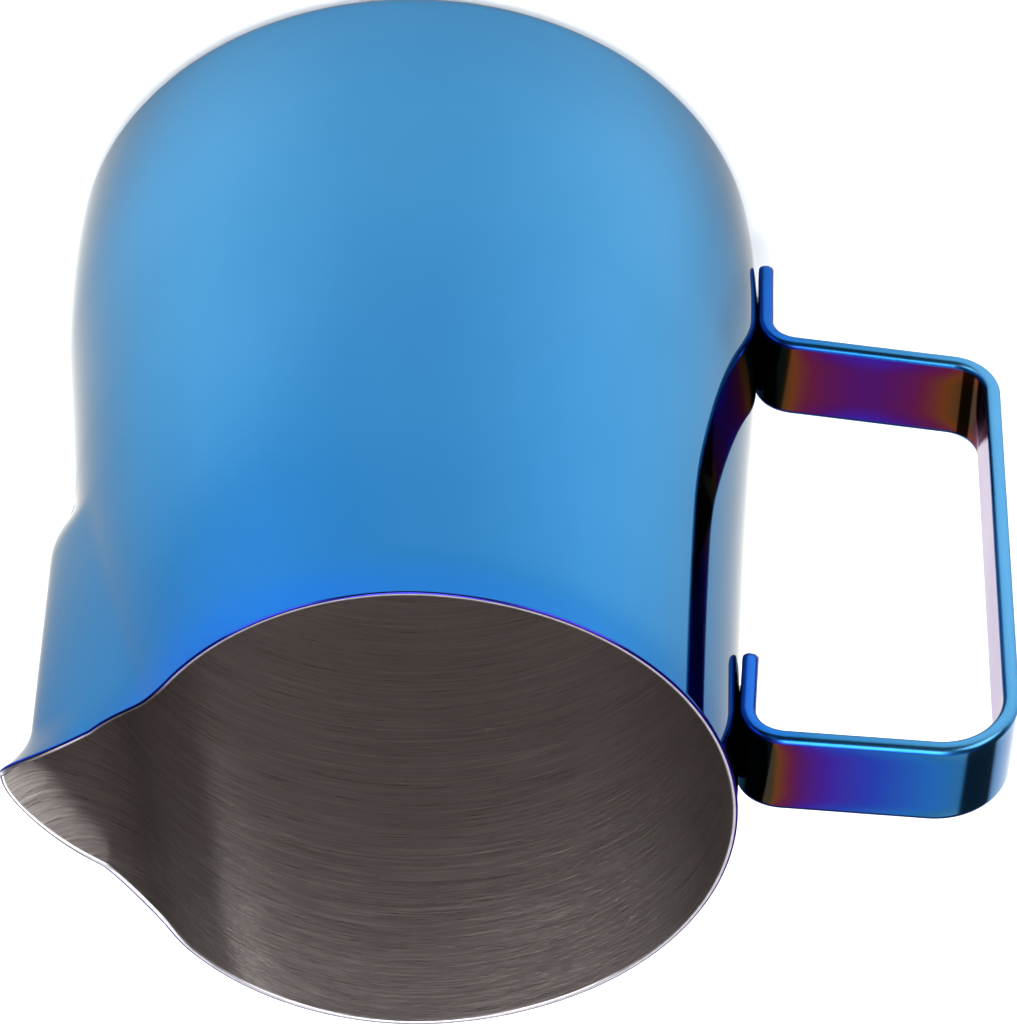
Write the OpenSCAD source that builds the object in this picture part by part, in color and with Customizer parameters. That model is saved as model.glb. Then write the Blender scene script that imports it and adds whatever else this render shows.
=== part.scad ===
// Milk frothing pitcher: a drawn steel cup with a pressed pouring spout and a bent strap handle.
// Origin: centre of the foot, on the resting plane. +Z up, spout towards +X, handle towards -X. Millimetres.

/* [Body] */
// Height of the mouth above the resting plane
height = 101.3; // [92:0.1:112]
// Outside radius of the mouth, away from the spout
mouth_r = 39.5; // [37:0.1:41]
// Largest outside radius, low on the wall
belly_r = 46.2; // [44:0.1:48]
// Height of the largest radius
belly_z = 12.6; // [10:0.1:16]
// Thickness of the drawn sheet
wall = 0.7; // [0.5:0.05:1]
// Outside radius of the corner between wall and foot
corner_r = 3; // [2:0.1:4]
// How far the centre of the underside stands off the table
recess = 0.8; // [0.4:0.1:1.2]

/* [Spout] */
// Distance of the spout's ridge from the axis
ridge_x = 45.5; // [44.5:0.1:47]
// How far the lip rolls out beyond the ridge
lip_roll = 3.2; // [1:0.1:4]
// How far the tip lies below the mouth
tip_drop = 7.6; // [6:0.1:9]
// How far the mouth is drawn in on either side of the spout
draw_in = 5; // [3:0.1:6]

/* [Handle] */
// Width of the strap
strap_w = 13; // [11:0.1:15]
// Thickness of the strap
strap_t = 2; // [1.5:0.1:2.5]
// Distance of the grip's centre line from the axis, at the top bend
grip_top_x = 72.4; // [68:0.1:80]
// Distance of the grip's centre line from the axis, at the bottom bend
grip_low_x = 75.9; // [70:0.1:82]
// Gap between strap and wall that the spot welds bridge
weld_gap = 0.12; // [0.1:0.02:0.3]
// Radius of a spot weld
weld_r = 1.9; // [1.5:0.1:2.2]

/* [Hidden] */
belly_arc = 129;           // radius of the wall's curve round the belly
neck_arc = 1180;           // radius of the slight hollow curve from belly to mouth
foot_w = 3.4;              // width of the ring that touches the table
step_w = 1.5;              // width of the slope from that ring up to the recess
land = 0.05;               // height of the ground ring that the cup stands on
land_edge = 0.2;           // how far that ring stays inside the foot's two edges
spout_z = 44;              // height below which the cup is round
shoulder_z = 59.6;         // height at which the ridge becomes upright
shoulder_arc = 18;         // radius of the ridge's curve into the wall
ridge_round = 2.5;         // softness of the ridge
lip_depth = 6.5;           // height over which the lip rolls out
lip_soft = 3;              // softness of the rolled lip's middle, in degrees
lip_angle = 15.8;          // angle either side of the tip over which it rolls
crease_drop = 3.35;        // how far the edge has dropped where it turns into the spout
edge_angle = 42.7;         // angle from the tip at which the edge starts to drop
edge_run = 26.2;           // angle over which it drops by crease_drop
tip_angle = 18.7;          // angle from the tip at which it starts its last drop
draw_angle = 96.3;         // angle from the tip at which the mouth starts to be drawn in
draw_run = 95.2;           // angle over which it reaches draw_in
crease_z = 50.7;           // height at which the crease between wall and spout starts, at the ridge
crease_rise = 1.8;         // degrees the crease moves away from the ridge per mm of height, low down
crease_top = 34.4;         // angle of the crease from the ridge at the mouth
crease_lean = 0.41;        // degrees it moves per mm of height there
crease_bend = 1.5;         // softness of the change from one to the other
crease_soft = 0.3;         // softness of the crease, which is three times as soft at its start
crease_fade = 17;          // height over which the crease sharpens to that softness
min_angle = 3;             // angle of the crease from the ridge where the spout starts
steep_run = 3;             // height over which the spout's sides may turn flatter than 45 degrees
around = 88;               // points round the cup
crowding = 26;             // degrees by which the points are moved towards the spout
rise_steps = 15;           // rows between spout_z and the mouth
arc_steps = 4;             // rows in each curve of the lower wall
upper_tip_z = 79;          // free end of the upper flange
upper_arm_z = 92.8;        // upper arm where it leaves the wall
upper_grip_z = 95.8;       // upper arm where it meets the grip
lower_grip_z = 28.3;       // lower arm where it meets the grip
lower_arm_z = 23.1;        // lower arm where it leaves the wall
lower_tip_z = 7.8;         // free end of the lower flange
root_bend = 4.5;           // centre-line radius of the two bends at the wall
top_bend = 9;              // centre-line radius of the bend above the hand
low_bend = 5.6;            // centre-line radius of the bend below the hand
upper_clear = 0.35;        // how much wider the gap is at the upper flange's tip
lower_clear = 0.5;         // the same at the lower flange's tip, where the belly curves away
tip_corner = 2;            // radius of the strap's end corners
bend_steps = 10;           // flats in each bend of the strap
weld_first = 3;            // from a flange's tip to its first weld
weld_pitch = 4.6;          // from the first weld to the second
$fn = 96;

// The wall's outline is three tangent arcs, each about a centre [radius, height].
belly_c = [belly_r - belly_arc, belly_z];
corner_z = land + corner_r;
corner_c = [belly_c.x + sqrt((belly_arc - corner_r) ^ 2 - (corner_z - belly_z) ^ 2), corner_z];
mouth_p = [mouth_r, height];
neck_c = circles_meet(mouth_p, neck_arc, belly_c, belly_arc + neck_arc);
corner_a = angle_of(corner_c - belly_c);
neck_a = angle_of(neck_c - belly_c);
neck_z = belly_c.y + belly_arc * sin(neck_a);
foot_in = corner_c.x - foot_w;

function angle_of(v) = atan2(v.y, v.x);
function on_circle(c, r, a) = c + r * [cos(a), sin(a)];
function clamp(x) = min(1, max(0, x));
function smooth(x) = clamp(x) ^ 2 * (3 - 2 * clamp(x));
function soft_max(a, b, blend) = (a + b + sqrt((a - b) ^ 2 + blend ^ 2)) / 2;

// The point at distance ra from a and rb from b, on the right of the way from b to a.
function circles_meet(a, ra, b, rb) =
    let (d = norm(a - b), u = (a - b) / d, k = (rb ^ 2 - ra ^ 2 + d ^ 2) / (2 * d))
    b + u * k + [u.y, -u.x] * sqrt(rb ^ 2 - k ^ 2);

// Outside radius of the plain round cup at height z, from the belly up.
function round_r(z) = z < neck_z
    ? belly_c.x + sqrt(belly_arc ^ 2 - (z - belly_c.y) ^ 2)
    : neck_c.x - sqrt(neck_arc ^ 2 - (z - neck_c.y) ^ 2);

// Height of the mouth's edge at angle a: level, then dropping to the spout's tip.
function edge_z(a) = height - crease_drop * smooth((edge_angle - a) / edge_run)
    - (tip_drop - crease_drop) * clamp(1 - a / tip_angle) ^ 2;

// Distance of the ridge from the axis at height z: upright, and curved into the wall below.
function ridge(z) = ridge_x - shoulder_arc
    + sqrt(shoulder_arc ^ 2 - min(shoulder_z - min(z, shoulder_z), shoulder_arc) ^ 2);

// Radius of the wall beside the spout, drawn in towards the mouth.
function drawn_r(a, z) = round_r(z)
    - draw_in * clamp((z - spout_z) / (height - spout_z)) ^ 2 * smooth((draw_angle - a) / draw_run);

// Angle of the crease from the ridge at height z: fast at first, then slower up to the mouth.
function crease(z) = max(min_angle, -soft_max(-crease_rise * (z - crease_z),
    crease_lean * (height - z) - crease_top, crease_bend));

// Radius at angle a of the spout's two sides: a rounded V from the ridge through the crease.
function vee_r(a, z) =
    let (tip = ridge(z) + ridge_round, at = crease(z),
         run = drawn_r(at, z) * cos(at), out = drawn_r(at, z) * sin(at),
         least = max(0.0001, 1 - smooth((z - crease_z) / steep_run)),
         lean = max(((tip - run) ^ 2 - ridge_round ^ 2) / out ^ 2, least),
         near = min(a, atan(sqrt(lean))),
         e = tip ^ 2 - ridge_round ^ 2, c = tip * cos(near))
    e / (c + sqrt(c ^ 2 - (cos(near) ^ 2 - lean * sin(near) ^ 2) * e)) * cos(a - near);

// Outside radius at angle a (0 at the spout, to 180) and height z.
function spout_r(a, z) =
    let (aside = sqrt(a ^ 2 + lip_soft ^ 2) - lip_soft,
         roll = clamp(1 - (edge_z(a) - z) / lip_depth) ^ 2 * clamp(1 - aside / lip_angle),
         start = smooth((z - spout_z) / (crease_z - spout_z)),
         blend = crease_soft * start * (3 - 2 * smooth((z - crease_z) / crease_fade)))
    soft_max(drawn_r(a, z), vee_r(a, z), blend) + lip_roll * roll;

// Radial run through the wall at that point, so that the sheet keeps its thickness.
function sheet_run(a, z) =
    let (h = 0.05, r = spout_r(a, z),
         rise = (spout_r(a, z + h) - r) / h,
         swing = (spout_r(a + h, z) - r) / h)
    wall * norm([1, rise, swing * 180 / PI / r]);

// Angles round the cup, closer together at the spout.
turns = [for (i = [0:around - 1]) let (t = 360 * i / around) t - crowding * sin(t)];

function from_tip(t) = t > 180 ? 360 - t : t;
function ring(r, z) = [for (t = turns) [r * cos(t), r * sin(t), z]];
function rise_z(a, f) = spout_z + f * (edge_z(a) - spout_z);
function rise_ring(f, inside) = [for (t = turns)
    let (a = from_tip(t), z = rise_z(a, f), r = spout_r(a, z) - (inside ? sheet_run(a, z) : 0))
    [r * cos(t), r * sin(t), z]];

// Rows [radius, height] from foot to spout_z; skin is the depth into the sheet.
function low_rows(skin) = concat(
    arc_rows(corner_c, corner_r - skin, -90, corner_a),
    arc_rows(belly_c, belly_arc - skin, corner_a, neck_a),
    [for (i = [0:arc_steps])
        let (z = neck_z + (spout_z - neck_z) * i / (arc_steps + 1)) [round_r(z) - skin, z]]);
function arc_rows(c, r, from, to) =
    [for (i = [0:arc_steps - 1]) on_circle(c, r, from + i * (to - from) / arc_steps)];

function rings_of(rows) = [for (p = rows) ring(p.x, p.y)];
function backwards(v) = [for (i = [len(v) - 1:-1:0]) v[i]];
function flat(v) = [for (row = v) for (p = row) p];

cup_rings = concat(
    [ring(foot_in - step_w, recess), ring(foot_in, land)],
    rings_of(low_rows(0)),
    [for (i = [0:rise_steps]) rise_ring(i / rise_steps, false)],
    [for (i = [rise_steps:-1:0]) rise_ring(i / rise_steps, true)],
    rings_of(backwards(low_rows(wall))),
    [ring(foot_in - wall / 2, land + wall), ring(foot_in - step_w - wall / 2, recess + wall)]);

// One closed skin through the rings, with a flat cap on the first and the last.
module skin(rings) {
    n = len(rings[0]);
    last = (len(rings) - 1) * n;
    sides = [for (i = [0:len(rings) - 2]) for (j = [0:n - 1])
        let (a = i * n + j, b = i * n + (j + 1) % n) [a, a + n, b + n, b]];
    polyhedron(flat(rings), concat(
        [[for (j = [0:n - 1]) j]],
        [for (f = sides) [f[0], f[1], f[2]]],
        [for (f = sides) [f[0], f[2], f[3]]],
        [[for (j = [n - 1:-1:0]) last + j]]), convexity = 6);
}

// The ring, ground flat, that touches the table.
module foot_land() {
    difference() {
        cylinder(r = corner_c.x - land_edge, h = wall / 2);
        translate([0, 0, -1]) cylinder(r = foot_in + land_edge, h = wall + 2);
    }
}

module body() {
    color([0.16, 0.45, 0.78]) {
        skin(cup_rings);
        foot_land();
    }
}

// Centre line of a flange against the wall at height z, with an extra gap.
function flange(z, extra = 0) = [-(round_r(z) + weld_gap + strap_t / 2 + extra), z];

// Corners of the strap's centre line [x, z], and the radius of each bend.
path = [flange(upper_tip_z, upper_clear), flange(upper_arm_z), [-grip_top_x, upper_grip_z],
        [-grip_low_x, lower_grip_z], flange(lower_arm_z), flange(lower_tip_z, lower_clear)];
bends = [0, root_bend, top_bend, low_bend, root_bend, 0];

function way(i) = (path[i + 1] - path[i]) / norm(path[i + 1] - path[i]);
function left(v) = [-v.y, v.x];
function turn(i) = atan2(left(way(i - 1)) * way(i), way(i - 1) * way(i));
function side(i) = turn(i) > 0 ? 1 : -1;
function bend_centre(i) = path[i] - way(i - 1) * bends[i] * tan(abs(turn(i)) / 2)
    + side(i) * bends[i] * left(way(i - 1));

// One face of the strap, seen from the side, at distance off to the left of its centre line.
function face(off) = concat(
    [path[0] + off * left(way(0))],
    [for (i = [1:len(path) - 2]) for (s = [0:bend_steps])
        let (a = angle_of(-side(i) * left(way(i - 1))) + turn(i) * s / bend_steps)
        on_circle(bend_centre(i), bends[i] - side(i) * off, a)],
    [path[len(path) - 1] + off * left(way(len(path) - 2))]);

// What is cut from a free end of the strap to round its two corners; +X points away from the strap.
module end_cut() {
    for (k = [0, 1])
        mirror([0, 0, k]) rotate([90, 0, 0]) linear_extrude(3 * strap_t, center = true)
            translate([-tip_corner, strap_w / 2 - tip_corner]) difference() {
                square(tip_corner + 1);
                circle(tip_corner);
            }
}

module handle() {
    last = len(path) - 1;
    color([0.12, 0.38, 0.72]) rotate([90, 0, 0]) difference() {
        linear_extrude(strap_w, center = true)
            polygon(concat(face(strap_t / 2), backwards(face(-strap_t / 2))));
        translate([path[0].x, path[0].y, 0]) rotate([0, 0, angle_of(-way(0))]) end_cut();
        translate([path[last].x, path[last].y, 0]) rotate([0, 0, angle_of(way(last - 1))]) end_cut();
    }
}

// Two spot welds between the wall and a flange that rises from its free end, tip, to its bend, root.
module welds(tip, root) {
    rise = (root - tip) / norm(root - tip);
    for (run = [weld_first, weld_first + weld_pitch]) {
        p = tip + run * rise;
        gap = -p.x - strap_t / 2 - round_r(p.y);
        color([0.35, 0.35, 0.38]) translate([p.x, 0, p.y]) rotate([0, 180 - angle_of(rise), 0])
            translate([0, 0, strap_t / 2]) cylinder(r = weld_r, h = gap);
    }
}

body();
handle();
welds(path[0], path[1]);  // upper_welds
welds(path[5], path[4]);  // lower_welds
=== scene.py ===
import math

import bpy
import numpy as np
from mathutils import Matrix, Vector


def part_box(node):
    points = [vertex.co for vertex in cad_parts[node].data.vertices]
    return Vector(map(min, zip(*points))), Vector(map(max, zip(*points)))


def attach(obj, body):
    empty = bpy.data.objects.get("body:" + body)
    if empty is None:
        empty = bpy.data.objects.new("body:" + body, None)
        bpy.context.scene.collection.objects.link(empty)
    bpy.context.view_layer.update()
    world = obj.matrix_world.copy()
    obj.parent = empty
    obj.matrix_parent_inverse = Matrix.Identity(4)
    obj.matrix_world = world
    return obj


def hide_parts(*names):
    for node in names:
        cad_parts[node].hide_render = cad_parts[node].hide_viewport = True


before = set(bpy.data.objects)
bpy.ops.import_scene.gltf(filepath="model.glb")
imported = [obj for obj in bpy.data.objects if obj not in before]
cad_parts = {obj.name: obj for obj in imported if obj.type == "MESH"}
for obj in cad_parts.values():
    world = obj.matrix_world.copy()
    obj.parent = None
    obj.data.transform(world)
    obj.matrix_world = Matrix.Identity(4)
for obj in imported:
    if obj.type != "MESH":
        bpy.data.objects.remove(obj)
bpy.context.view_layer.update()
body_low, body_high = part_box("body")
strap_low, strap_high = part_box("handle")

# Lengths are millimetres of a pitcher HEIGHT tall; MM turns them into the frame's metres.
# Angles are degrees round the cup from the middle of the spout.
HEIGHT = 101.3          # mouth above the table, away from the spout
MM = (body_high.z - body_low.z) / HEIGHT

# The round cup
MOUTH_R = 39.5          # outside radius of the mouth, away from the spout
BELLY_R = (body_high.y - body_low.y) / 2 / MM
BELLY_Z = 12.6          # height of the largest radius
BELLY_ARC = 129.0       # radius of the wall's curve round the belly
NECK_ARC = 1180.0       # radius of the slight hollow curve from belly to mouth
WALL = 0.7              # thickness of the sheet
CORNER_R = 3.0          # corner between wall and foot
FOOT_W = 3.4            # width of the ring that touches the table
STEP_W = 2.0            # width of the slope from that ring up to the recess
RECESS = 0.8            # how far the middle of the underside stands off the table
HUB_R = 0.5             # radius of the flat disc in its middle
LAND = 0.05             # height of the ground ring that the cup stands on
LAND_EDGE = 0.2         # how far that ring stays inside the foot's two edges

# The spout
SPOUT_Z = 44.0          # height below which the cup is round
SHOULDER_Z = 59.6       # height at which the ridge becomes upright
SHOULDER_ARC = 18.0     # radius of the ridge's curve into the wall
RIDGE_X = 45.5          # distance of the ridge from the axis
RIDGE_ROUND = 2.5       # softness of the ridge
LIP_ROLL = 3.2          # how far the lip rolls out beyond the ridge
LIP_DEPTH = 6.5         # height over which it rolls out
LIP_ANGLE = 15.8        # angle either side of the tip over which it rolls
LIP_SOFT = 3.0          # softness of the roll's middle, in degrees
TIP_DROP = 7.6          # how far the tip lies below the mouth
TIP_ANGLE = 18.7        # angle at which the edge starts its last drop to the tip
CREASE_DROP = 3.35      # how far the edge has dropped where it turns into the spout
EDGE_ANGLE = 42.7       # angle at which the edge starts to drop
EDGE_RUN = 26.2         # angle over which it drops by CREASE_DROP
DRAW_IN = 5.0           # how far the mouth is drawn in on either side
DRAW_ANGLE = 96.3       # angle at which it starts to be drawn in
DRAW_RUN = 95.2         # angle over which it reaches DRAW_IN
CREASE_Z = 50.7         # height at which the crease between wall and spout starts
CREASE_RISE = 1.8       # degrees the crease moves from the ridge per mm of height, low down
CREASE_TOP = 34.4       # angle of the crease at the mouth
CREASE_LEAN = 0.41      # degrees it moves per mm of height there
CREASE_BEND = 1.5       # softness of the change from one to the other
CREASE_SOFT = 0.3       # softness of the crease, which is three times as soft at its start
CREASE_FADE = 17.0      # height over which it sharpens to that softness
MIN_ANGLE = 3.0         # angle of the crease where the spout starts
STEEP_RUN = 3.0         # height over which the spout's sides may turn flatter than 45 degrees
LEAST_LEAN = 1e-4       # least square of their slope above it, so that the V's formula holds

# The handle
STRAP_W = (strap_high.y - strap_low.y) / MM
STRAP_T = 2.0           # thickness of the strap
STRAP_EDGE = 0.92       # rounding of its long edges
STRAP_END = 2.0         # rounding of its ends' corners, seen from outside
TIP_ROUND = 0.35        # rounding of its ends, seen from the side
LEAST_FLAT = 0.04       # least half-height of the flat between two long edges, on the strap's sides
UPPER_TIP_Z = 79.0      # free end of the upper flange
UPPER_ARM_Z = 92.8      # upper arm where it leaves the wall
UPPER_GRIP_Z = 95.8     # upper arm where it meets the grip
LOWER_GRIP_Z = 28.3     # lower arm where it meets the grip
LOWER_ARM_Z = 23.1      # lower arm where it leaves the wall
LOWER_TIP_Z = 7.8       # free end of the lower flange
GRIP_TOP_X = 72.4       # distance of the grip from the axis, at the top bend
GRIP_LOW_X = 75.9       # the same at the bottom bend
ROOT_BEND = 4.5         # centre-line radius of the two bends at the wall
TOP_BEND = 9.0          # of the bend above the hand
LOW_BEND = 5.6          # of the bend below the hand
UPPER_CLEAR = 0.35      # how much wider the gap is at the upper flange's tip
LOWER_CLEAR = 0.5       # the same at the lower flange's tip, where the belly curves away
HUG_FADE = 4.0          # distance from the wall over which the strap stops curving round it
WELD_GAP = 0.12         # gap between strap and wall that the spot welds bridge
WELD_R = 1.9            # radius of a spot weld
WELD_FIRST = 3.0        # from a flange's tip to its first weld
WELD_PITCH = 4.6        # from the first weld to the second
# Outline of a spot weld from strap to wall, as (part of WELD_R, part of the gap)
WELD_BULGE = [(0.9, 0.0), (1.0, 0.25), (1.02, 0.5), (1.0, 0.75), (0.9, 1.0)]

# How finely the meshes are made
AROUND = 384            # points round the cup
CROWDING = 26           # degrees by which they are moved towards the spout
PANEL_ROWS = 14         # rows of points on the recessed underside
STEP_ROWS = 9           # on the slope up to it
STEP_LEAD = 0.4         # from the underside's last row to the slope
CORNER_ROWS = 14        # round the foot's corner
BELLY_ROWS = 22         # round the belly
NECK_ROWS = 14          # from the belly to SPOUT_Z
SPOUT_ROWS = 84         # from SPOUT_Z to the mouth
ROW_CROWDING = 1.25     # how strongly those are moved towards the mouth, 1 being not at all
LIP_ROWS = 7            # over the mouth's edge
LIP_COATED = 3          # faces across that edge which still have the coat
LIP_RISE = 0.2          # height of the edge's rounding
LIP_FLAT = 0.3          # part of its width that is flat
BEND_POINTS = 33        # points along each bend of the strap
STRAIGHT_STEP = 1.5     # length between points along its straight runs
END_POINTS = 16         # points along the rounded part of a free end
FLANGE_POINTS = 6       # points along the rest of that flange, ends included
CORNER_POINTS = 7       # points round each long edge
HOLD = 0.15             # how near an edge a flat has its own points, which keep its shading flat
WELD_AROUND = 48        # points round a spot weld


# ---------------------------------------------------------------- the cup's shape

def circles_meet(a, ra, b, rb):
    """The point at distance ra from a and rb from b, on the right of the way from b to a."""
    d = math.dist(a, b)
    u = (a - b) / d
    k = (rb ** 2 - ra ** 2 + d ** 2) / (2 * d)
    return b + u * k + np.array([u[1], -u[0]]) * math.sqrt(rb ** 2 - k ** 2)


# The wall's outline is three tangent arcs, each about a centre [radius, height].
belly_c = np.array([BELLY_R - BELLY_ARC, BELLY_Z])
corner_z = LAND + CORNER_R
corner_x = belly_c[0] + math.sqrt((BELLY_ARC - CORNER_R) ** 2 - (corner_z - BELLY_Z) ** 2)
corner_c = np.array([corner_x, corner_z])
neck_c = circles_meet(np.array([MOUTH_R, HEIGHT]), NECK_ARC, belly_c, BELLY_ARC + NECK_ARC)
corner_a = math.atan2(*(corner_c - belly_c)[::-1])
neck_a = math.atan2(*(neck_c - belly_c)[::-1])
neck_z = belly_c[1] + BELLY_ARC * math.sin(neck_a)
foot_in = corner_c[0] - FOOT_W


def unit(x):
    """x held between 0 and 1."""
    return np.clip(x, 0.0, 1.0)


def smooth(x):
    """0 up to x = 0 and 1 from x = 1, with a gentle curve between them."""
    return unit(x) ** 2 * (3 - 2 * unit(x))


def soft_max(a, b, blend):
    """The larger of a and b, rounded where they cross; blend is twice what that adds there."""
    return (a + b + np.sqrt((a - b) ** 2 + blend ** 2)) / 2


def round_r(z):
    """Outside radius of the plain round cup, from the belly up."""
    low = belly_c[0] + np.sqrt(BELLY_ARC ** 2 - (np.minimum(z, neck_z) - belly_c[1]) ** 2)
    high = neck_c[0] - np.sqrt(NECK_ARC ** 2 - (z - neck_c[1]) ** 2)
    return np.where(z < neck_z, low, high)


def edge_z(a):
    """Height of the mouth's edge at a degrees from the spout."""
    drop = CREASE_DROP * smooth((EDGE_ANGLE - a) / EDGE_RUN)
    return HEIGHT - drop - (TIP_DROP - CREASE_DROP) * unit(1 - a / TIP_ANGLE) ** 2


def ridge(z):
    """Distance of the spout's ridge from the axis."""
    below = np.minimum(SHOULDER_Z - np.minimum(z, SHOULDER_Z), SHOULDER_ARC)
    return RIDGE_X - SHOULDER_ARC + np.sqrt(SHOULDER_ARC ** 2 - below ** 2)


def drawn_r(a, z):
    """Radius of the wall beside the spout, drawn in towards the mouth."""
    rise = unit((z - SPOUT_Z) / (HEIGHT - SPOUT_Z))
    return round_r(z) - DRAW_IN * rise ** 2 * smooth((DRAW_ANGLE - a) / DRAW_RUN)


def crease(z):
    """Angle of the crease between wall and spout: fast at first, then slower up to the mouth."""
    low = CREASE_RISE * (z - CREASE_Z)
    high = CREASE_TOP - CREASE_LEAN * (HEIGHT - z)
    return np.maximum(MIN_ANGLE, -soft_max(-low, -high, CREASE_BEND))


def vee_r(a, z):
    """Radius of the spout's two sides: a rounded V from the ridge through the crease."""
    tip = ridge(z) + RIDGE_ROUND
    at = np.radians(crease(z))
    reach = drawn_r(crease(z), z)
    run, out = reach * np.cos(at), reach * np.sin(at)
    least = np.maximum(LEAST_LEAN, 1 - smooth((z - CREASE_Z) / STEEP_RUN))
    lean = np.maximum(((tip - run) ** 2 - RIDGE_ROUND ** 2) / out ** 2, least)
    near = np.minimum(np.radians(a), np.arctan(np.sqrt(lean)))
    # A ray at angle near meets the hyperbola (tip - x)^2 - lean y^2 = RIDGE_ROUND^2 at e / (c + root).
    e = tip ** 2 - RIDGE_ROUND ** 2
    c = tip * np.cos(near)
    root = np.sqrt(c ** 2 - (np.cos(near) ** 2 - lean * np.sin(near) ** 2) * e)
    return e / (c + root) * np.cos(np.radians(a) - near)


def spout_r(a, z):
    """Outside radius at a degrees from the spout and height z."""
    aside = np.sqrt(a ** 2 + LIP_SOFT ** 2) - LIP_SOFT
    roll = unit(1 - (edge_z(a) - z) / LIP_DEPTH) ** 2 * unit(1 - aside / LIP_ANGLE)
    start = smooth((z - SPOUT_Z) / (CREASE_Z - SPOUT_Z))
    blend = CREASE_SOFT * start * (3 - 2 * smooth((z - CREASE_Z) / CREASE_FADE))
    return soft_max(drawn_r(a, z), vee_r(a, z), blend) + LIP_ROLL * roll


def arc(centre, radius, start, end, steps):
    """Points on a circle from one angle to another."""
    t = np.linspace(start, end, steps + 1)
    return np.stack([centre[0] + radius * np.cos(t), centre[1] + radius * np.sin(t)], 1)


def low_profile():
    """Outside profile [radius, height] from the middle of the underside to the start of the spout."""
    panel = [[r, RECESS] for r in np.linspace(HUB_R, foot_in - (STEP_W + STEP_LEAD), PANEL_ROWS)]
    rise = [[foot_in - STEP_W + STEP_W * s, LAND + (RECESS - LAND) * (1 - float(smooth(s)))]
            for s in np.linspace(0, 1, STEP_ROWS)]
    land_in, land_out = foot_in + LAND_EDGE, corner_c[0] - LAND_EDGE
    foot = [[land_in, LAND], [land_in + LAND, 0.0], [(land_in + land_out) / 2, 0.0],
            [land_out - LAND, 0.0], [land_out, LAND]]
    corner = arc(corner_c, CORNER_R, -math.pi / 2, corner_a, CORNER_ROWS)
    belly = arc(belly_c, BELLY_ARC, corner_a, neck_a, BELLY_ROWS)[1:]
    neck = [[float(round_r(z)), z] for z in np.linspace(neck_z, SPOUT_Z, NECK_ROWS)[1:-1]]
    return np.concatenate([panel, rise, foot, corner, belly, neck])


def outer_grid():
    """The cup's outside as rows of points, from the middle of the underside to the mouth."""
    t = np.linspace(0, 2 * math.pi, AROUND, endpoint=False)
    turn = t - math.radians(CROWDING) * np.sin(t)
    a = np.degrees(np.minimum(turn, 2 * math.pi - turn))
    swing = np.stack([np.cos(turn), np.sin(turn)], 1)
    rows = [np.column_stack([r * swing, np.full(AROUND, z)]) for r, z in low_profile()]
    for part in 1 - (1 - np.linspace(0, 1, SPOUT_ROWS)) ** ROW_CROWDING:
        z = SPOUT_Z + part * (edge_z(a) - SPOUT_Z)
        r = spout_r(a, z)
        rows.append(np.column_stack([r[:, None] * swing, z]))
    return np.array(rows)


def grid_normals(grid):
    """The direction straight out of the sheet at every point."""
    up = np.gradient(grid, axis=0)
    round_about = np.roll(grid, -1, 1) - np.roll(grid, 1, 1)
    n = np.cross(round_about, up)
    return n / np.linalg.norm(n, axis=2, keepdims=True)


def build(name, points, faces, slots, materials):
    """A smooth-shaded mesh object; points are in the shape's millimetres."""
    mesh = bpy.data.meshes.new(name)
    metres = np.asarray(points, float).reshape(-1, 3) * MM
    mesh.from_pydata(metres.tolist(), [], faces)
    for material in materials:
        mesh.materials.append(material)
    mesh.polygons.foreach_set("material_index", np.asarray(slots, np.int32))
    mesh.polygons.foreach_set("use_smooth", np.ones(len(faces), bool))
    mesh.update()
    piece = bpy.data.objects.new(name, mesh)
    bpy.context.scene.collection.objects.link(piece)
    return piece


def tube_faces(rows, n):
    """Quads between each row of n points and the next."""
    return [[i * n + j, i * n + (j + 1) % n, (i + 1) * n + (j + 1) % n, (i + 1) * n + j]
            for i in range(rows - 1) for j in range(n)]


def make_cup(coat, lip_coat, edge, steel):
    """The cup's shell: outside, rounded lip and brushed inside, one wall thickness apart."""
    outer = outer_grid()
    normal = grid_normals(outer)
    normal[0] = [0, 0, -1]
    inner = outer - WALL * normal
    along = outer[-1] - outer[-2]
    along /= np.linalg.norm(along, axis=1, keepdims=True)
    # Rows over the edge, from the outside to the inside: flat in the middle, round at either side.
    lip = []
    for s in np.linspace(0, 1, LIP_ROWS + 2)[1:-1]:
        past = max(abs(2 * s - 1) - LIP_FLAT, 0) / (1 - LIP_FLAT)
        lip.append(outer[-1] - WALL * s * normal[-1] + LIP_RISE * math.sqrt(1 - past ** 2) * along)
    rings = np.concatenate([outer, lip, inner[::-1]])
    faces = tube_faces(len(rings), AROUND)
    # Materials from the underside round to the inside: the coat, its lip, the bare edge, the steel.
    wall_rows, bare_rows = len(outer) - 1, LIP_ROWS + 1 - LIP_COATED
    slots = np.repeat([0, 1, 2, 3], np.array([wall_rows, LIP_COATED, bare_rows, wall_rows]) * AROUND)
    last = (len(rings) - 1) * AROUND
    faces.append(list(range(AROUND))[::-1])
    faces.append([last + j for j in range(AROUND)])
    slots = np.append(slots, [0, 3])
    return build("cup", rings, faces, slots, [coat, lip_coat, edge, steel])


# ---------------------------------------------------------------- the strap's shape

def left(v):
    """v turned a quarter to the left, in the plane [x, z]."""
    return np.array([-v[1], v[0]])


def flange(z, extra=0.0):
    """The strap's centre line [x, z] where it lies against the wall, with an extra gap."""
    return np.array([-(float(round_r(z)) + WELD_GAP + STRAP_T / 2 + extra), z])


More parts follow.
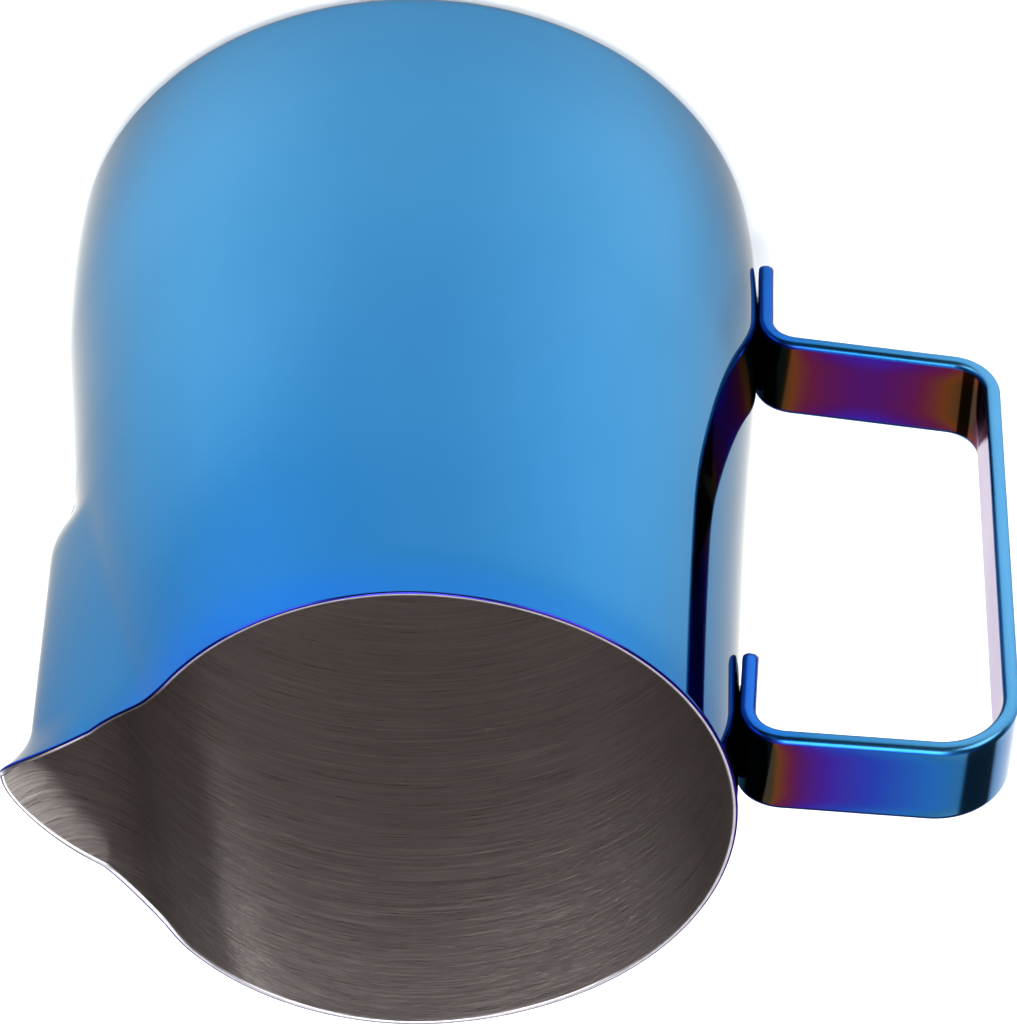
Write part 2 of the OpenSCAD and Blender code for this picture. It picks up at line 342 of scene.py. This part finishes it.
# Corners of the strap's centre line, from its upper free end to its lower one, and their bends.
PATH = [flange(UPPER_TIP_Z, UPPER_CLEAR), flange(UPPER_ARM_Z), np.array([-GRIP_TOP_X, UPPER_GRIP_Z]),
        np.array([-GRIP_LOW_X, LOWER_GRIP_Z]), flange(LOWER_ARM_Z), flange(LOWER_TIP_Z, LOWER_CLEAR)]
BENDS = [0, ROOT_BEND, TOP_BEND, LOW_BEND, ROOT_BEND, 0]


def strap_stations():
    """Points along the centre line as (point, way, distance from the nearer end)."""
    ways = [(b - a) / math.dist(a, b) for a, b in zip(PATH, PATH[1:])]
    points, directions = [PATH[0]], [ways[0]]
    for i in range(1, len(PATH) - 1):
        a, b = ways[i - 1], ways[i]
        turn = math.atan2(left(a) @ b, a @ b)
        side = math.copysign(1, turn)
        centre = PATH[i] - a * BENDS[i] * math.tan(abs(turn) / 2) + side * BENDS[i] * left(a)
        start = -side * left(a)
        for w in turn * np.linspace(0, 1, BEND_POINTS):
            spin = np.array([[math.cos(w), -math.sin(w)], [math.sin(w), math.cos(w)]])
            points.append(centre + BENDS[i] * spin @ start)
            directions.append(spin @ a)
    points.append(PATH[-1])
    directions.append(ways[-1])
    return subdivide(points, directions)


def subdivide(points, directions):
    """Adds stations on the straight runs, close together at the two free ends."""
    stations = []
    last = len(points) - 2
    for i, (p, q) in enumerate(zip(points, points[1:])):
        length = math.dist(p, q)
        if i == 0:
            cuts = end_cuts(length)
        elif i == last:
            cuts = [1 - c for c in end_cuts(length)[::-1]]
        else:
            cuts = list(np.linspace(0, 1, max(1, round(length / STRAIGHT_STEP)), endpoint=False))
        stations += [(p + (q - p) * c, directions[i]) for c in cuts if c < 1]
    stations.append((points[-1], directions[-1]))
    run = np.cumsum([0] + [math.dist(a[0], b[0]) for a, b in zip(stations, stations[1:])])
    return [(p, d, min(s, run[-1] - s)) for (p, d), s in zip(stations, run)]


def end_cuts(length):
    """Fractions of a run that begins at a free end, crowded where its corners are round."""
    near = STRAP_END * (1 - np.cos(np.linspace(0, math.pi / 2, END_POINTS))) / length
    far = np.linspace(STRAP_END / length, 1, FLANGE_POINTS)[1:]
    return [float(c) for c in np.concatenate([near, far])]


def strap_section(half_w, half_t):
    """Outline of the strap's section as [along the width, along the thickness]."""
    edge = min(STRAP_EDGE, half_t - LEAST_FLAT)
    flats = (half_t - edge, half_w - edge)
    outline = []
    for k, (sx, sy) in enumerate([(1, 1), (-1, 1), (-1, -1), (1, -1)]):
        corner = np.array([sx * flats[1], sy * flats[0]])
        turns = np.linspace(k * math.pi / 2, (k + 1) * math.pi / 2, CORNER_POINTS)
        points = [corner + edge * np.array([math.cos(t), math.sin(t)]) for t in turns]
        before = min(HOLD, flats[k % 2] / 2) * np.array([-math.sin(turns[0]), math.cos(turns[0])])
        after = min(HOLD, flats[1 - k % 2] / 2) * np.array([-math.sin(turns[-1]), math.cos(turns[-1])])
        outline += [points[0] - before] + points + [points[-1] + after]
    return np.array(outline)


def rounding(radius, near):
    """How far a corner of this radius has drawn back the outline at a distance near from the end."""
    return radius - math.sqrt(max(radius ** 2 - max(radius - near, 0) ** 2, 0))


def hug(x, u, z):
    """How far the flanges curve in to follow the round wall, u from the middle of their width."""
    wall = float(round_r(z)) + WELD_GAP
    against = 1 - float(smooth((-x - wall - STRAP_T) / HUG_FADE))
    return against * (wall - math.sqrt(wall ** 2 - u ** 2))


def make_strap(out_coat, in_coat, side_coat):
    """The bent strap; its outward faces, the faces to the finger gap and its sides differ in coat."""
    rings = []
    for point, way, near in strap_stations():
        half_w = STRAP_W / 2 - rounding(STRAP_END, near)
        half_t = STRAP_T / 2 - rounding(TIP_ROUND, near)
        n = left(way)
        rings.append([[point[0] + v * n[0] + hug(point[0], u, point[1]), u, point[1] + v * n[1]]
                      for u, v in strap_section(half_w, half_t)])
    count = len(rings[0])
    faces = tube_faces(len(rings), count)
    outward, inward, sideways = 0, 1, 2
    band = np.full(count, sideways)
    # Each wide flat is three faces of the section's outline, a broad one between two narrow ones.
    flat_in, flat_out = count // 4, 3 * count // 4
    band[flat_in - 2:flat_in + 1] = inward
    band[flat_out - 2:flat_out + 1] = outward
    slots = list(band) * (len(rings) - 1) + [sideways, sideways]
    last = (len(rings) - 1) * count
    faces.append(list(range(count))[::-1])
    faces.append([last + j for j in range(count)])
    return build("strap_handle", rings, faces, slots, [out_coat, in_coat, side_coat])


def make_welds(name, tip, root, steel):
    """Two spot welds between the wall and the flange that rises from its free end, tip."""
    rise = (root - tip) / math.dist(root, tip)
    inward = -left(rise)
    points, faces = [], []
    for run in (WELD_FIRST, WELD_FIRST + WELD_PITCH):
        p = tip + run * rise
        gap = -p[0] - STRAP_T / 2 - float(round_r(p[1]))
        start = len(points)
        for r, h in WELD_BULGE:
            for t in np.linspace(0, 2 * math.pi, WELD_AROUND, endpoint=False):
                spot = p + inward * (STRAP_T / 2 + h * gap) + rise * WELD_R * r * math.sin(t)
                points.append([spot[0], WELD_R * r * math.cos(t), spot[1]])
        faces += [[start + v for v in face] for face in tube_faces(len(WELD_BULGE), WELD_AROUND)]
        last = len(points) - WELD_AROUND
        faces.append([start + j for j in range(WELD_AROUND)][::-1])
        faces.append([last + j for j in range(WELD_AROUND)])
    return build(name, points, faces, [0] * len(faces), [steel])


# ---------------------------------------------------------------- materials

# The coat's colour as its film thickens, from bare and dark through amber and violet to blue.
FILM = [(0.00, (0.030, 0.023, 0.016)),
        (0.10, (0.040, 0.026, 0.010)),
        (0.20, (0.110, 0.030, 0.007)),
        (0.30, (0.092, 0.009, 0.036)),
        (0.42, (0.062, 0.006, 0.100)),
        (0.52, (0.038, 0.010, 0.240)),
        (0.62, (0.014, 0.036, 0.340)),
        (0.74, (0.010, 0.105, 0.375)),
        (0.80, (0.015, 0.116, 0.290)),
        (0.88, (0.036, 0.165, 0.325)),
        (1.00, (0.085, 0.260, 0.450))]

# Nearly all of a noise texture's values lie between these.
GRAIN = (0.3, 0.7)


class Nodes:
    """A material's node tree, with the few steps that the materials below share."""

    def __init__(self, name):
        self.material = bpy.data.materials.new(name)
        self.material.use_nodes = True
        self.tree = self.material.node_tree
        self.shader = self.tree.nodes["Principled BSDF"]
        self.place = self.add("ShaderNodeTexCoord").outputs["Object"]

    def add(self, kind, **settings):
        """A new node of one kind, with its settings applied."""
        node = self.tree.nodes.new(kind)
        for key, value in settings.items():
            setattr(node, key, value)
        return node

    def put(self, source, socket):
        """Gives a socket a plain value, or joins another node's output to it."""
        if isinstance(source, (int, float, tuple)):
            socket.default_value = source
        else:
            self.tree.links.new(source, socket)

    def math(self, operation, a, b=0.0):
        node = self.add("ShaderNodeMath", operation=operation)
        for socket, source in zip(node.inputs, (a, b)):
            self.put(source, socket)
        return node.outputs[0]

    def axes(self):
        """The place's three coordinates, in order or by their names X, Y and Z."""
        node = self.add("ShaderNodeSeparateXYZ")
        self.put(self.place, node.inputs[0])
        return node.outputs

    def join(self, x, y, z):
        node = self.add("ShaderNodeCombineXYZ")
        for socket, source in zip(node.inputs, (x, y, z)):
            self.put(source, socket)
        return node.outputs[0]

    def noise(self, place, scale, detail=3.0, rough=0.5):
        node = self.add("ShaderNodeTexNoise")
        self.put(place, node.inputs["Vector"])
        node.inputs["Scale"].default_value = scale
        node.inputs["Detail"].default_value = detail
        node.inputs["Roughness"].default_value = rough
        return node.outputs["Fac"]

    def span(self, value, low, high, to_low=0.0, to_high=1.0, smooth=False):
        """Turns low to high into to_low to to_high, and holds the ends beyond them."""
        node = self.add("ShaderNodeMapRange", interpolation_type="SMOOTHSTEP" if smooth else "LINEAR")
        for socket, source in zip(node.inputs, (value, low, high, to_low, to_high)):
            self.put(source, socket)
        return node.outputs[0]

    def curve(self, value, points):
        """The height at value of straight lines through points (value, height)."""
        total = points[0][1]
        for (x0, y0), (x1, y1) in zip(points, points[1:]):
            total = self.math("ADD", total, self.span(value, x0, x1, 0.0, y1 - y0))
        return total

    def ramp(self, value, stops):
        """The colour at value of a gradient through stops (value, colour)."""
        node = self.add("ShaderNodeValToRGB")
        elements = node.color_ramp.elements
        while len(elements) < len(stops):
            elements.new(0.5)
        for element, (position, colour) in zip(elements, stops):
            element.position = position
            element.color = (*colour, 1.0)
        self.put(value, node.inputs[0])
        return node.outputs[0]

    def bump(self, height, strength, distance):
        """Lets the surface seem to rise and fall with height."""
        node = self.add("ShaderNodeBump")
        node.inputs["Strength"].default_value = strength
        node.inputs["Distance"].default_value = distance
        self.put(height, node.inputs["Height"])
        self.put(node.outputs[0], self.shader.inputs["Normal"])

    def turned(self, rows, breaks):
        """Coordinates for marks that run round the axis: rows to a millimetre, breaks to a radian."""
        x, y, z = self.axes()
        squares = self.math("ADD", self.math("MULTIPLY", x, x), self.math("MULTIPLY", y, y))
        reach = self.math("SQRT", squares)
        return self.join(self.math("MULTIPLY", self.math("DIVIDE", x, reach), breaks),
                         self.math("MULTIPLY", self.math("DIVIDE", y, reach), breaks),
                         self.math("MULTIPLY", self.math("SUBTRACT", z, reach), rows / MM))


def finish_coat(n, film, cloud_scale, roughness, edge_tint):
    """Colours a polished coat by its film's thickness, a little uneven from place to place."""
    uneven, smoothest, roughest = 0.012, 0.85, 1.2
    cloud = n.noise(n.place, cloud_scale, detail=2.0)
    film = n.math("ADD", film, n.span(cloud, *GRAIN, -uneven, uneven))
    n.put(n.ramp(film, FILM), n.shader.inputs["Base Color"])
    n.shader.inputs["Metallic"].default_value = 1.0
    n.shader.inputs["Specular Tint"].default_value = (*edge_tint, 1.0)
    rough = n.span(cloud, *GRAIN, roughness * smoothest, roughness * roughest)
    n.put(rough, n.shader.inputs["Roughness"])
    return n.material


def cup_coat():
    """Mirror-polished steel under a blue film, which thins from the foot to the mouth; that thinning is
    painted light, a paler foot to offset the shaded floor that it mirrors and a darker mouth to offset
    the brighter floor that it mirrors.

    It is thinner still at the rim and high up beside the spout. Towards the handle and below the
    spout it is painted thicker and paler, a painted sheen where bright reflected bands fall.
    """
    rim_height = 8
    n = Nodes("cup_coat")
    x, _, z = n.axes()
    # Painted light: paler coat at the foot, which mirrors the floor's shade beside it, darker towards
    # the mouth, which mirrors brighter floor.
    film = n.span(z, 0.0, HEIGHT * MM, 0.90, 0.80)
    high = n.span(z, 60 * MM, 95 * MM, smooth=True)
    spout_side = n.curve(x, [(0.0, 0.0), (20 * MM, 0.03), (26 * MM, 0.03), (34 * MM, -0.01)])
    spout_side = n.math("MULTIPLY", high, spout_side)
    rim = n.span(z, (HEIGHT - rim_height) * MM, HEIGHT * MM, 0.0, 0.04, smooth=True)
    # Painted sheen: thicker, paler film either side of the front, where the bright reflected bands
    # fall.
    handle_side_painted_sheen = n.span(x, -34 * MM, -4 * MM, 0.035, 0.0)
    under_spout_painted_sheen = n.span(x, 8 * MM, 24 * MM, 0.0, 0.03)
    under_spout_painted_sheen = n.math("MULTIPLY", under_spout_painted_sheen, n.math("SUBTRACT", 1.0, high))
    film = n.math("ADD", film, n.math("ADD", handle_side_painted_sheen, under_spout_painted_sheen))
    film = n.math("SUBTRACT", film, n.math("ADD", spout_side, rim))
    return finish_coat(n, film, cloud_scale=22.0, roughness=0.045, edge_tint=(0.60, 0.57, 0.53))


def lip_coat():
    """The outer half of the mouth's lip, where the film is thinner and a deeper blue."""
    n = Nodes("lip_coat")
    film = n.span(n.axes()["X"], -MOUTH_R * MM, RIDGE_X * MM, 0.54, 0.62)
    return finish_coat(n, film, cloud_scale=40.0, roughness=0.15, edge_tint=(0.45, 0.42, 0.45))


def beyond_wall(n):
    """How far a place on the handle stands out from the wall, in millimetres."""
    x, _, z = n.axes()
    upper_root, lower_root = PATH[1], PATH[-2]
    wall = n.span(z, lower_root[1] * MM, upper_root[1] * MM, -lower_root[0], -upper_root[0])
    return n.math("SUBTRACT", n.math("MULTIPLY", x, -1.0 / MM), wall)


def free_end(n):
    """Extra film on the two flanges, from none at their bends to a blue coat at their free ends."""
    blue, bend_run = 0.75, 5
    z = n.axes()["Z"]
    upper = n.span(z, (UPPER_ARM_Z - bend_run) * MM, UPPER_TIP_Z * MM, 0.0, blue, smooth=True)
    lower = n.span(z, (LOWER_ARM_Z - bend_run) * MM, LOWER_TIP_Z * MM, 0.0, blue, smooth=True)
    upper_part = n.span(z, 60 * MM, 70 * MM)
    near_wall = n.span(beyond_wall(n), 1.0, 3.0, 1.0, 0.0)
    return n.math("MULTIPLY", near_wall, n.math("ADD", n.math("MULTIPLY", upper, upper_part), lower))


def off_centre(n):
    """Distance from the middle of the strap's width, in millimetres."""
    return n.math("ABSOLUTE", n.math("MULTIPLY", n.axes()["Y"], 1.0 / MM))


def strap_out_coat():
    """The strap's outward faces: bare and dark at the wall, then amber, violet and blue.

    The film is thicker towards the strap's two edges.
    """
    n = Nodes("strap_out_coat")
    film = n.curve(beyond_wall(n), [(2.6, 0.02), (3.5, 0.20), (4.9, 0.30), (6.5, 0.43),
                                    (10.2, 0.54), (14.2, 0.61), (18.4, 0.67), (26.0, 0.81)])
    edge = n.span(off_centre(n), 3.5, 6.5, 0.0, 0.10, smooth=True)
    film = n.math("ADD", n.math("ADD", film, edge), free_end(n))
    return finish_coat(n, film, cloud_scale=60.0, roughness=0.10, edge_tint=(0.85, 0.85, 0.85))


def from_corner(n, corner):
    """Distance of a place from a corner [x, z] of the strap's centre line, in millimetres."""
    x, _, z = n.axes()
    node = n.add("ShaderNodeVectorMath", operation="DISTANCE")
    n.put(n.join(x, 0.0, z), node.inputs[0])
    n.put((corner[0] * MM, 0.0, corner[1] * MM), node.inputs[1])
    return n.math("MULTIPLY", node.outputs["Value"], 1.0 / MM)


def strap_in_coat():
    """The faces that look into the finger gap, where the film is thin near each corner.

    Here too it is thicker towards the strap's two edges, but hardly so at the wall.
    """
    n = Nodes("strap_in_coat")
    beyond = beyond_wall(n)
    film = n.curve(beyond, [(1.2, 0.04), (3.6, 0.20), (5.3, 0.28), (7.5, 0.34), (12.0, 0.43)])
    for corner in PATH[2:4]:
        near_film = n.curve(from_corner(n, corner), [(1.0, 0.05), (3.4, 0.12), (5.6, 0.20),
                                                     (8.0, 0.28), (10.0, 0.35), (14.5, 0.43)])
        film = n.math("MINIMUM", film, near_film)
    edge = n.span(off_centre(n), 2.5, 6.5, 0.0, 0.13, smooth=True)
    edge = n.math("MULTIPLY", edge, n.span(beyond, 3.0, 9.0, 0.15, 1.0))
    film = n.math("ADD", n.math("ADD", film, edge), free_end(n))
    return finish_coat(n, film, cloud_scale=60.0, roughness=0.12, edge_tint=(0.58, 0.50, 0.62))


def strap_side_coat():
    """The strap's two rounded sides: deep blue at the wall, pale blue at the grip."""
    n = Nodes("strap_side_coat")
    film = n.curve(beyond_wall(n), [(-2.0, 0.68), (3.0, 0.75), (8.0, 0.82), (20.0, 0.86), (30.0, 0.93)])
    rounding_in, rounding_out = STRAP_W / 2 - STRAP_EDGE, STRAP_W / 2 - 0.25
    inner = n.span(off_centre(n), rounding_in, rounding_out, 0.20, 0.0)
    film = n.math("SUBTRACT", film, inner)
    return finish_coat(n, film, cloud_scale=60.0, roughness=0.28, edge_tint=(0.62, 0.62, 0.62))


def grained_steel(name, scale, dark, light, roughness):
    """Bare steel whose colour varies with a fine grain between dark and light."""
    n = Nodes(name)
    colour = n.ramp(n.noise(n.place, scale), list(zip(GRAIN, (dark, light))))
    n.put(colour, n.shader.inputs["Base Color"])
    n.shader.inputs["Metallic"].default_value = 1.0
    n.shader.inputs["Roughness"].default_value = roughness
    return n.material


def cut_edge():
    """The mouth's cut edge, polished bare."""
    return grained_steel("cut_edge", 900.0, (0.50, 0.47, 0.51), (0.66, 0.62, 0.67), 0.3)


def weld_steel():
    """Steel that the welding has dulled and darkened."""
    return grained_steel("weld_steel", 500.0, (0.16, 0.13, 0.12), (0.30, 0.27, 0.26), 0.45)


def brushed_inside():
    """Bare stainless steel, brushed round and round on the lathe."""
    n = Nodes("brushed_inside")
    fine = n.noise(n.turned(rows=7.0, breaks=3.5), 1.0, detail=4.0, rough=0.8)
    broad = n.noise(n.turned(rows=2.2, breaks=1.2), 1.0, detail=3.0)
    fine_share = 0.75
    both = n.math("ADD", n.math("MULTIPLY", fine, fine_share),
                  n.math("MULTIPLY", broad, 1 - fine_share))
    steel = [(0.38, (0.33, 0.290, 0.280)), (0.52, (0.39, 0.345, 0.335)), (0.64, (0.56, 0.515, 0.50))]
    n.put(n.ramp(both, steel), n.shader.inputs["Base Color"])
    n.shader.inputs["Metallic"].default_value = 1.0
    n.put(n.span(fine, 0.35, 0.65, 0.25, 0.42), n.shader.inputs["Roughness"])
    n.bump(fine, strength=0.9, distance=0.00012)
    n.shader.inputs["Anisotropic"].default_value = 0.8
    n.shader.inputs["Anisotropic Rotation"].default_value = 0.25
    tangent = n.add("ShaderNodeTangent", direction_type="RADIAL", axis="Z")
    n.put(tangent.outputs[0], n.shader.inputs["Tangent"])
    return n.material


# ---------------------------------------------------------------- stage, light and camera

def make_floor():
    """A plain white floor under the cup, far wider than the picture."""
    bpy.ops.mesh.primitive_plane_add(size=40)
    floor = bpy.context.object
    floor.name = "floor"
    n = Nodes("floor")
    colour = n.ramp(n.noise(n.place, 30.0), list(zip(GRAIN, ((0.80, 0.80, 0.80), (0.82, 0.82, 0.82)))))
    n.put(colour, n.shader.inputs["Base Color"])
    n.shader.inputs["Roughness"].default_value = 0.9
    n.shader.inputs["Specular IOR Level"].default_value = 0.1
    floor.data.materials.append(n.material)


def hang(name, data, place, aim, glossy):
    """Hangs a lamp at place, facing aim; with glossy off, polished surfaces do not see it."""
    lamp = bpy.data.objects.new(name, data)
    lamp.location = place
    lamp.rotation_euler = (Vector(aim) - Vector(place)).to_track_quat("-Z", "Y").to_euler()
    lamp.visible_glossy = glossy
    bpy.context.scene.collection.objects.link(lamp)


def make_panel(name, place, aim, size, power, glossy=True):
    """A soft rectangular panel of light."""
    data = bpy.data.lights.new(name, "AREA")
    data.shape = "RECTANGLE"
    data.size, data.size_y = size
    data.energy = power
    hang(name, data, place, aim, glossy)


def make_pool(name, place, aim, angle, power):
    """A soft-edged pool of light on the floor, angle degrees wide from the lamp."""
    data = bpy.data.lights.new(name, "SPOT")
    data.energy = power
    data.spot_size = math.radians(angle)
    data.spot_blend = 1.0
    data.shadow_soft_size = 0.05
    hang(name, data, place, aim, glossy=False)


def make_world(level):
    """An even, weak white light from all round."""
    world = bpy.data.worlds.new("studio")
    world.use_nodes = True
    shade = world.node_tree.nodes["Background"]
    shade.inputs[0].default_value = (1.0, 1.0, 1.0, 1.0)
    shade.inputs[1].default_value = level
    bpy.context.scene.world = world


def make_camera():
    """Looks down at 45 degrees from the side, turned over: the foot is at the top of the picture."""
    elevation, azimuth, roll = math.radians(44.93), math.radians(0.44), math.radians(180 - 0.25)
    distance, sideways, aim_z = 485.4, -12.45, 49.6
    back = Vector((math.sin(azimuth) * math.cos(elevation), -math.cos(azimuth) * math.cos(elevation),
                   math.sin(elevation)))
    right = Vector((math.cos(azimuth), math.sin(azimuth), 0))
    up = back.cross(right)
    rolled_right = right * math.cos(roll) + up * math.sin(roll)
    rolled_up = up * math.cos(roll) - right * math.sin(roll)
    data = bpy.data.cameras.new("camera")
    data.sensor_fit = "HORIZONTAL"
    data.sensor_width, data.lens = 36.0, 133.9
    camera = bpy.data.objects.new("camera", data)
    turn = Matrix((rolled_right, rolled_up, back)).transposed().to_4x4()
    spot = (Vector((0, 0, aim_z)) + right * sideways + back * distance) * MM
    camera.matrix_world = Matrix.Translation(spot) @ turn
    bpy.context.scene.collection.objects.link(camera)
    bpy.context.scene.camera = camera


cup = make_cup(cup_coat(), lip_coat(), cut_edge(), brushed_inside())
strap = make_strap(strap_out_coat(), strap_in_coat(), strap_side_coat())
weld = weld_steel()
upper_welds = make_welds("upper_weld_nuggets", PATH[0], PATH[1], weld)
lower_welds = make_welds("lower_weld_nuggets", PATH[-1], PATH[-2], weld)

PIECES = [(cup, "body", "coated_shell"),
          (strap, "handle", "coated_strap"),
          (upper_welds, "upper_welds", "weld_steel"),
          (lower_welds, "lower_welds", "weld_steel")]

for piece, node, finish in PIECES:
    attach(piece, "root")
    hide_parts(node)

make_floor()
make_world(0.08)
# The polished outside mirrors the floor, which the unseen lamps light; the other panels show in
# the brushed inside. Places and sizes of the lights are metres, and powers are watts.
make_panel("ceiling", (0, 0, 1.6), (0, 0, 0), (4.0, 4.0), 54.0, glossy=False)
make_panel("back_key", (0, 0.9, 1.2), (0, 0, 0), (1.0, 1.0), 7.0, glossy=False)
make_panel("back_panel", (0, 1.3, 1.6), (0, 0.4, 0), (2.6, 1.3), 12.0)
make_panel("front_panel", (0, -0.12, 1.3), (0, 0, 0.05), (0.45, 0.9), 14.0)
for side in (-1, 1):
    make_panel("side_panel", (side * 0.9, -0.7, 0.6), (0, 0, 0.08), (0.7, 0.9), 9.5)
make_pool("left_pool", (0.5, -0.35, 0.6), (0.085, -0.06, 0), 12, 16.0)
make_pool("right_pool", (-0.5, -0.35, 0.6), (-0.095, -0.05, 0), 14, 18.5)
make_camera()
bpy.context.scene.view_settings.view_transform = "Standard"
